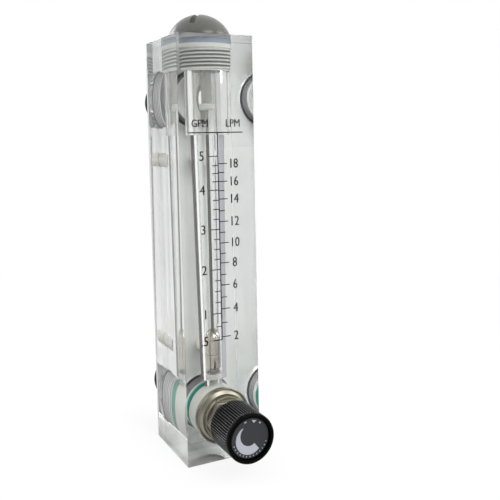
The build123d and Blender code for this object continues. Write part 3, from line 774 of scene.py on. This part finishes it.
def make_block():
    """Block with finely eased edges, cut by the bore, the valve's bore, the ports and the studs' holes."""
    air, edge, near = 0.04, 0.16, 0.01
    low = (block_low[0], front_y, 0)
    high = (block_high[0], block_back_y - air, block_top)
    block = mesh_object("clear_block", box_shape(low, high, edge), clear_acrylic)
    finish_faces(block, sawn_shaded_acrylic, lambda place: place.z < near)
    finish_faces(block, back_shadow_acrylic, lambda place: place.y > block_back_y - air - near)
    carve(block, [
        bore_cutter(),
        valve_cutter(),
        port_cutter("outlet_cutter", outlet_height, bore_y),
        port_cutter("inlet_cutter", valve_height, valve_bore_end_y - 0.5),
        stud_cutter("upper_stud_cutter", stud_heights[0]),
        stud_cutter("lower_stud_cutter", stud_heights[1]),
    ], crease=15)
    settle(block, "housing", "clear_acrylic", "body_block")


make_block()


# Plug, float and fittings

def make_plug():
    """Domed plug with its slot, its thread and the spigot under it."""
    rise, dome_steps, dome_radius = 8.5, 14, plug_head_radius - 0.3
    ball_radius = (plug_head_radius ** 2 + rise ** 2) / (2 * rise)
    centre = plug_top - ball_radius
    edge_angle = math.asin(dome_radius / ball_radius)
    angles = [edge_angle * (1 - step / dome_steps) for step in range(dome_steps)]
    dome = [(centre + ball_radius * math.cos(angle), ball_radius * math.sin(angle)) for angle in angles]
    spigot_foot, spigot_top, spigot_radius = 143.6, 156.9, 3.2
    thread_radius, seal_groove_radius, rim_radius = 9.98, 8.2, plug_head_radius - 0.02
    outline = [
        (spigot_foot, 0), (spigot_foot, spigot_radius - 0.3), (spigot_foot + 0.3, spigot_radius),
        (spigot_top, spigot_radius), (spigot_top, 9.5),
        *thread(plug_thread_foot, 165.9, thread_radius, 0.6, plug_thread_pitch, fade=0.7),
        (166.4, thread_radius), (166.5, seal_groove_radius), (169.0, seal_groove_radius),
        (169.1, thread_radius), (170.02, thread_radius), (170.02, plug_head_radius - 0.2),
        (170.2, rim_radius), (plug_rim, rim_radius), *dome, (plug_top, 0),
    ]
    plug = mesh_object("domed_plug", lathe(outline, along_z(bore_y), 128), plug_plastic)
    slot_reach, slot_half, slot_floor, slot_turn = 14, 1.1, 174.9, 51
    slot_shape = box_shape((-slot_reach, -slot_half, slot_floor), (slot_reach, slot_half, 181), 0.12)
    slot = mesh_object("slot_cutter", slot_shape, slot_shade_plastic)
    slot.data.transform(Matrix.Rotation(math.radians(slot_turn), 4, "Z"))
    slot.data.transform(Matrix.Translation(Vector((0, bore_y, 0)) * MM))
    carve(plug, [slot])
    settle(plug, "housing", "plug_plastic", "top_plug")


def pressed_ring(name, middle, half, inside, outside, place, finish, slot, *stands_for):
    """Ring pressed close against the acrylic, so that it is seen through it."""
    start, end = middle - half, middle + half
    outline = [(start, inside), (start, outside), (end, outside), (end, inside)]
    ring = mesh_object(name, lathe(eased(outline, 0.3), place, 128), finish)
    settle(ring, "housing", slot, *stands_for)


def make_pressed_rings():
    """The cartridge's barrel and seal and the plug's seal."""
    pressed_ring("pressed_green_seal", 1.3, 2.2, 8.8, valve_bore_radius + 0.06, along_y(valve_height),
                 green_rubber, "green_seal", "cartridge_seal")
    pressed_ring("pressed_barrel", -6.3, 5.6, 9.6, valve_bore_radius + 0.03, along_y(valve_height),
                 shaded_pressed_plastic, "cartridge_plastic")
    pressed_ring("pressed_plug_seal", plug_seal_height, 1.2, 8.3, plug_recess_radius + 0.05, along_z(bore_y),
                 pressed_rubber, "seal_rubber", "top_plug_seal")


def make_float():
    """Turned float: chamfered foot, banded body and domed top over the reading edge."""
    foot, dome_foot, dome_rise, dome_narrowing, dome_steps = 33.8, 45.8, 5.5, 3.1, 8
    body_radius, band_radius, hole_radius = 5.15, 4.8, 1.25
    angles = [math.pi / 2 * step / dome_steps for step in range(1, dome_steps + 1)]
    dome = [(dome_foot + dome_rise * math.sin(angle), body_radius - dome_narrowing * (1 - math.cos(angle)))
            for angle in angles]
    outline = [
        (foot, hole_radius), (foot, 3.5), (foot + 0.15, 3.65), (36.2, 5.1), (36.4, body_radius),
        (41.75, body_radius), (41.85, band_radius), (42.7, band_radius), (42.8, body_radius),
        (dome_foot - 0.1, body_radius), *dome, (dome_foot + dome_rise, hole_radius),
    ]
    steel_float = mesh_object("turned_float", lathe(outline, along_z(bore_y), 96), float_steel)
    settle(steel_float, "float", "float_steel", "float")


def make_fitting(name, node, height, turn):
    """Threaded tube with a plain grooved end, a threaded bore and the clamping hexagon."""
    place = along_y(height)
    start_y, end_y, hex_end_y, bore_end_y = 6.4, 39.5, 23.0, 26.5
    hex_across, bore_radius, inside_radius, bore_thread_pitch = 26.0, 5.72, 4.4, 1.337
    tube = [
        (start_y, inside_radius), (start_y, 9.7), (start_y + 0.6, 10.3),
        *thread(7.2, 16.4, 10.4, 1.0, port_thread_pitch), (hex_end_y - 0.1, 10.3),
        *thread(hex_end_y, 37.4, 10.47, 1.1, port_thread_pitch, fade=1.2),
        (37.5, 10.1), (37.75, 9.95), (38.0, 10.1), (38.1, 10.2), (38.7, 10.2), (end_y - 0.02, 9.35),
        (end_y, 9.2), (end_y, 7.2), (39.3, 6.9), (37.6, bore_radius + 0.03),
        *thread(37.4, bore_end_y + 0.1, bore_radius, -0.7, bore_thread_pitch, fade=0.8),
        (bore_end_y, bore_radius), (bore_end_y, inside_radius),
    ]
    hex_part = hexagon(hex_across, plate_back_y, hex_end_y, 9.0, place, face=11.6, turn=math.radians(turn),
                       slope=1.0)
    fitting = mesh_object(name, gather(lathe(tube, place, 120), hex_part), fitting_plastic, crease=28)
    soften = fitting.modifiers.new("soft_edges", "BEVEL")
    soften.width = 0.18 * MM
    soften.segments = 2
    soften.limit_method = "ANGLE"
    soften.angle_limit = math.radians(38)
    settle(fitting, "housing", "fitting_plastic", node)


def make_nut(name, node, height, turn):
    """Nut with its corners cut back at both ends."""
    across, end_y, hole_radius = 10.0, 22.8, 2.6
    hex_part = hexagon(across, plate_back_y, end_y, hole_radius, along_y(height), face=4.7, low_face=4.9,
                       turn=math.radians(turn))
    settle(mesh_object(name, hex_part, nut_steel), "housing", "nut_steel", node)


def make_stud(name, node, height):
    """Stud whose end stands out of its nut with a short thread."""
    end_y, thread_radius, thread_pitch = 25.5, 2.9, 1.0
    outline = [
        (stud_start_y, 0), (stud_start_y, stud_radius - 0.25), (stud_start_y + 0.15, stud_radius),
        (16.4, stud_radius), (22.6, stud_radius - 0.05),
        *thread(22.7, end_y - 0.4, thread_radius, 0.4, thread_pitch, fade=0.3),
        (end_y - 0.3, thread_radius - 0.3), (end_y, thread_radius - 0.7), (end_y, 0),
    ]
    stud = mesh_object(name, lathe(outline, along_y(height), 64), stud_brass)
    settle(stud, "housing", "stem_brass", node)


make_plug()
make_pressed_rings()
make_float()
make_fitting("upper_fitting", "outlet_fitting", outlet_height, 90)
make_fitting("lower_fitting", "inlet_fitting", valve_height, 70)
make_nut("upper_nut", "nut_upper", stud_heights[0], 22)
make_nut("lower_nut", "nut_lower", stud_heights[1], 0)
make_stud("upper_stud", "stud_upper", stud_heights[0])
make_stud("lower_stud", "stud_lower", stud_heights[1])


# Valve bonnet and knob

def make_bonnet():
    """Plated gland: skirt in the block's mouth, neck and hexagon."""
    place = along_y(valve_height)
    inner_end_y, skirt_start_y, hex_start_y, hex_end_y = -7.5, -12.0, -21.0, -23.7
    skirt_radius, stem_hole, seal_hole, hex_across = 11.03, 3.1, 4.1, 16.0
    body = eased([
        (inner_end_y, seal_hole), (inner_end_y, 6.5), (skirt_start_y, 6.5), (skirt_start_y, skirt_radius),
        (-17.2, skirt_radius), (-17.5, 10.6), (front_y, 10.0), (front_y - 0.4, 9.4), (hex_start_y, 9.1),
        (hex_start_y, 7.0), (-23.5, 7.0), (-23.5, stem_hole), (-17.4, stem_hole), (-17.4, seal_hole),
    ], 0.2)
    hex_part = hexagon(hex_across, hex_start_y, hex_end_y, stem_hole, place, face=7.9, turn=math.radians(30))
    bonnet = mesh_object("plated_bonnet", gather(lathe(body, place, 120), hex_part), plated_brass)
    settle(bonnet, "housing", "plated_brass", "valve_bonnet")


def rib_depth(share):
    """Change of radius round the grip, for a share of the ribs' full depth."""
    return lambda angle: -knob_rib_depth * share * (0.5 - 0.5 * math.cos(angle * knob_rib_count)) ** 0.6


def make_knob():
    """Ribbed grip with a smooth rim, an open back round its hub and a dished front."""
    back, front, cap, cap_back = knob_back_y, knob_front_y, cap_face_y, cap_back_y
    hub_radius, hub_hole, shell_radius, screw_hole = 5.0, 2.5, 8.1, 1.25
    grip = [
        (back, knob_radius - 0.3, rib_depth(0.9)), (back - 0.3, knob_radius, rib_depth(1.0)),
        (-33.0, knob_radius, rib_depth(1.0)), (-39.8, knob_radius, rib_depth(1.0)),
        (-40.5, knob_radius, rib_depth(0.6)), (ribs_end_y, knob_radius, rib_depth(0.0)),
    ]
    outline = [
        (back, hub_hole), (back, hub_radius - 0.1), (back - 0.1, hub_radius), (-35.5, hub_radius),
        (-35.5, shell_radius), (back - 0.2, shell_radius), (back, shell_radius + 0.2), *grip,
        (-42.2, knob_radius), (-42.63, 9.58), (-42.9, 9.3), (front, 8.95), (front, 8.4), (-42.9, 8.22),
        (cap, 8.2), (cap, 7.92), (cap_back, 7.9), (cap_back, 3.2), (-38.6, 3.2), (-38.6, screw_hole),
        (-37.1, screw_hole), (-37.1, hub_hole),
    ]
    knob = mesh_object("ribbed_knob", lathe(outline, along_y(valve_height), 600), knob_plastic, crease=40)
    settle(knob, "valve_screw", "knob_plastic", "knob")


def make_cap():
    """Cap disc with a finely eased edge, let into the knob's front."""
    back, face = cap_back_y - 0.02, cap_face_y
    outline = [(back, 0), (back, 7.85), (-41.5, 7.88), (-41.62, 7.82), (face, 7.7), (face, 7.0), (face, 0)]
    cap = mesh_object("cap_disc", lathe(outline, along_y(valve_height), 96), cap_plastic)
    settle(cap, "valve_screw", "cap_plastic", "knob_cap")


def flat_mark(outlines, plane_y, lift, centre_z=0.0):
    """Points and faces of thin printed shapes on a face that looks towards -Y."""
    points, faces = [], []
    for outline in outlines:
        start, count = len(points), len(outline)
        for depth in (plane_y, plane_y - lift):
            points += [Vector((x, depth, centre_z + z)) for x, z in outline]
        faces.append(list(range(start + count, start + 2 * count)))
        faces.append(list(range(start, start + count))[::-1])
        for index in range(count):
            after = (index + 1) % count
            faces.append([start + index, start + after, start + count + after, start + count + index])
    return points, faces


def polar(radius, degrees):
    return radius * math.cos(math.radians(degrees)), radius * math.sin(math.radians(degrees))


def dash(low, high, middle, low_half, high_half):
    """Four corners of a mark between two radii, with its half widths in degrees at each."""
    return [polar(low, middle - low_half), polar(low, middle + low_half),
            polar(high, middle + high_half), polar(high, middle - high_half)]


def between(values, share):
    """Value at a share from 0 to 1 along a list of evenly spaced values."""
    place = share * (len(values) - 1)
    index = min(int(place), len(values) - 2)
    return values[index] + (values[index + 1] - values[index]) * (place - index)


def make_cap_marks():
    """Crescent that widens with the flow, a pointer with two dashes, and plain ticks round the lower edge."""
    outer, inner = (5.35, 5.8, 6.1, 6.35, 6.3, 5.8), (5.05, 4.3, 3.6, 3.15, 2.9, 2.7)
    crescent_start, crescent_sweep, steps = 124, 184, 48
    shares = [step / steps for step in range(steps + 1)]
    crescent = [polar(between(outer, share), crescent_start + crescent_sweep * share) for share in shares]
    crescent += [polar(between(inner, share), crescent_start + crescent_sweep * share)
                 for share in reversed(shares)]
    pointer = [polar(7.1, 66), polar(5.9, 75), polar(7.1, 84)]
    dashes = [dash(6.5, 7.05, middle, 3, 4) for middle in (106, 52)]
    ticks = [dash(6.75, 7.3, middle, 1.2, 1.2) for middle in range(196, 345, 12)]
    shape = flat_mark([crescent, pointer, *dashes, *ticks], cap_face_y + 0.01, 0.05, valve_height)
    settle(mesh_object("cap_marks", shape, mark_paint), "valve_screw", "cap_plastic")


make_bonnet()
make_knob()
make_cap()
make_cap_marks()


# The printed scale

header_height, header_left, header_right, scale_foot = 132.4, -12.4, 10.9, 50.0
left_majors = {"5": 123.2, "4": 110.0, "3": 94.5, "2": 78.5, "1": 60.8, ".5": 50.0}
right_majors = {
    "18": 120.3, "16": 113.3, "14": 106.4, "12": 97.5, "10": 89.0, "8": 81.0, "6": 72.1, "4": 62.5, "2": 51.1,
}
left_minors = (119.6, 116.5, 113.3, 106.0, 102.4, 98.5, 90.6, 86.6, 82.6, 74.1, 69.8, 65.3, 55.5)
right_minors = (116.8, 109.7, 101.8, 93.2, 84.8, 76.3, 67.2, 56.8)
left_long, left_short, right_long, right_short = -3.9, -2.6, 3.8, 2.5
left_number_x, left_point_x, right_number_x, right_digit_x = -6.9, -7.5, 6.9, 6.3
number_height, left_squeeze, right_squeeze = 3.7, 0.85, 0.8
unit_places, unit_level, unit_height = {"GPM": -7.3, "LPM": 6.7}, 136.0, 2.9
print_lift, strike_shift = 0.04, 0.07


def printed(text, x, z, height, squeeze):
    """Points and faces of a printed number or unit, centred on a place on the front face and struck twice."""
    data = bpy.data.curves.new("print", "FONT")
    data.body = text
    data.resolution_u = 3
    holder = bpy.data.objects.new("print", data)
    bpy.context.scene.collection.objects.link(holder)
    bpy.context.view_layer.update()
    mesh = bpy.data.meshes.new_from_object(holder.evaluated_get(bpy.context.evaluated_depsgraph_get()))
    bpy.data.objects.remove(holder)
    corners = [corner.co.copy() for corner in mesh.vertices]
    faces = [list(face.vertices) for face in mesh.polygons]
    low = Vector((min(corner.x for corner in corners), min(corner.y for corner in corners)))
    high = Vector((max(corner.x for corner in corners), max(corner.y for corner in corners)))
    size = height / (high.y - low.y)
    middle = (low + high) / 2

    def strike(shift):
        points = [Vector((x + shift + (corner.x - middle.x) * size * squeeze, front_y - print_lift,
                          z + (corner.y - middle.y) * size)) for corner in corners]
        return points, faces
    return gather(strike(-strike_shift), strike(strike_shift))


def bar(x0, x1, z0, z1):
    return [(x0, z0), (x1, z0), (x1, z1), (x0, z1)]


def scale_bars():
    """Header line, dividing line, and long and short ticks on both sides of it."""
    thin, heavy = 0.18, 0.22
    bars = [bar(header_left, header_right, header_height - heavy, header_height + heavy),
            bar(-heavy, heavy, scale_foot, header_height)]
    for heights, reach in ((left_majors.values(), left_long), (left_minors, left_short),
                           (right_majors.values(), right_long), (right_minors, right_short)):
        bars += [bar(min(0, reach), max(0, reach), z - thin, z + thin) for z in heights]
    return bars


def make_scale():
    """Lines, numbers and the two units, printed on the front face."""
    parts = [flat_mark(scale_bars(), front_y - 0.01, print_lift - 0.01)]
    for text, height in left_majors.items():
        place = left_point_x if text.startswith(".") else left_number_x
        parts.append(printed(text, place, height + 0.2, number_height, left_squeeze))
    for text, height in right_majors.items():
        place = right_number_x if len(text) > 1 else right_digit_x
        parts.append(printed(text, place, height, number_height, right_squeeze))
    for text, place in unit_places.items():
        parts.append(printed(text, place, unit_level, unit_height, left_squeeze))
    settle(mesh_object("printed_scale", gather(*parts), scale_ink), "housing", "clear_acrylic")


make_scale()


# Solids that show as they are

shown_as_made = {
    "back_plate": plate_metal, "guide_rod": rod_steel, "upper_stop": stop_plastic, "lower_stop": stop_plastic,
    "outlet_seal": seal_rubber, "inlet_seal": seal_rubber, "valve_cartridge": cartridge_plastic,
    "bonnet_seal": seal_rubber, "valve_stem": stem_brass, "stem_seal_inner": seal_rubber,
    "stem_seal_outer": seal_rubber, "valve_poppet": stem_brass, "poppet_seal": seal_rubber,
    "poppet_clip": rod_steel, "knob_screw": rod_steel,
}
for node, finish in shown_as_made.items():
    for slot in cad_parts[node].material_slots:
        slot.material = finish


# Floor, backdrop and light

def make_floor():
    """Pale floor with its shadow, white to the camera and dimmer on the right through the acrylic."""
    finish = Finish("pale_floor")
    finish.plain(Roughness=0.9, Specular_IOR_Level=0.1)
    ray = finish.lay("ShaderNodeLightPath").outputs
    finish.colour_by(finish.blend(ray["Is Diffuse Ray"], (0.90, 0.90, 0.90), (0.35, 0.35, 0.35)))
    dimmed = finish.ramp(finish.along("X"), -40 * MM, 50 * MM, 1.0, 0.7)
    white = finish.lay("ShaderNodeEmission")
    finish.join(finish.combine("MAXIMUM", dimmed, ray["Is Camera Ray"]), white.inputs["Strength"])
    through = finish.combine("MAXIMUM", ray["Is Transmission Ray"], ray["Is Glossy Ray"])
    seen = finish.combine("MAXIMUM", ray["Is Camera Ray"], through)
    further = finish.ramp(finish.round_axis((0, 0, 0), (1, 1, 1)), 60 * MM, 450 * MM, 0.82, 1.0)
    glow = finish.combine("MULTIPLY", seen, further)
    finish.show(finish.mix_shaders(glow, finish.shader.outputs["BSDF"], white.outputs["Emission"]))
    half, drop = 8000, 0.02
    corners = [Vector((x * half, y * half, -drop)) for x, y in ((-1, -1), (1, -1), (1, 1), (-1, 1))]
    mesh_object("floor", (corners, [[0, 1, 2, 3]]), finish.material)


def make_world():
    """White to the camera and dimmer on the right through acrylic; what lights the meter is dim in front."""
    world = bpy.data.worlds.new("studio")
    bpy.context.scene.world = world
    world.use_nodes = True
    sky = Nodes(world.node_tree)
    output = sky.lay("ShaderNodeOutputWorld")
    seen, lighting = sky.lay("ShaderNodeBackground"), sky.lay("ShaderNodeBackground")
    seen.inputs["Color"].default_value = (1, 1, 1, 1)
    lighting.inputs["Color"].default_value = (0.99, 0.995, 1.0, 1)
    direction, parts = sky.lay("ShaderNodeTexCoord"), sky.lay("ShaderNodeSeparateXYZ")
    sky.join(direction.outputs["Generated"], parts.inputs["Vector"])
    ray = sky.lay("ShaderNodeLightPath").outputs
    sky.join(sky.ramp(parts.outputs["Y"], -0.95, -0.1, 0.3, 1.0), lighting.inputs["Strength"])
    dimmed = sky.ramp(parts.outputs["X"], 0.0, 0.3, 1.0, 0.7)
    sky.join(sky.combine("MAXIMUM", dimmed, ray["Is Camera Ray"]), seen.inputs["Strength"])
    through = sky.combine("MULTIPLY", ray["Is Transmission Ray"], 0.75)
    clear_view = sky.combine("MAXIMUM", ray["Is Camera Ray"], through)
    mixed = sky.mix_shaders(clear_view, lighting.outputs["Background"], seen.outputs["Background"])
    sky.join(mixed, output.inputs["Surface"])


def soft_lamp(name, place, width, height, power):
    """Soft lamp at a place in metres, aimed at the middle of the block."""
    middle = Vector((0, 0, 0.09))
    data = bpy.data.lights.new(name, "AREA")
    data.shape = "RECTANGLE"
    data.size, data.size_y = width, height
    data.energy = power
    lamp = bpy.data.objects.new(name, data)
    lamp.location = place
    lamp.rotation_mode = "QUATERNION"
    lamp.rotation_quaternion = (middle - Vector(place)).to_track_quat("-Z", "Y")
    bpy.context.scene.collection.objects.link(lamp)


make_floor()
make_world()
soft_lamp("key_softbox", (0.2, -0.8, 0.75), 0.5, 0.5, 5.0)
soft_lamp("side_softbox", (0.8, -0.35, 0.5), 0.35, 0.6, 3.0)
soft_lamp("rear_softbox", (-0.4, 0.8, 0.5), 0.6, 0.4, 3.0)
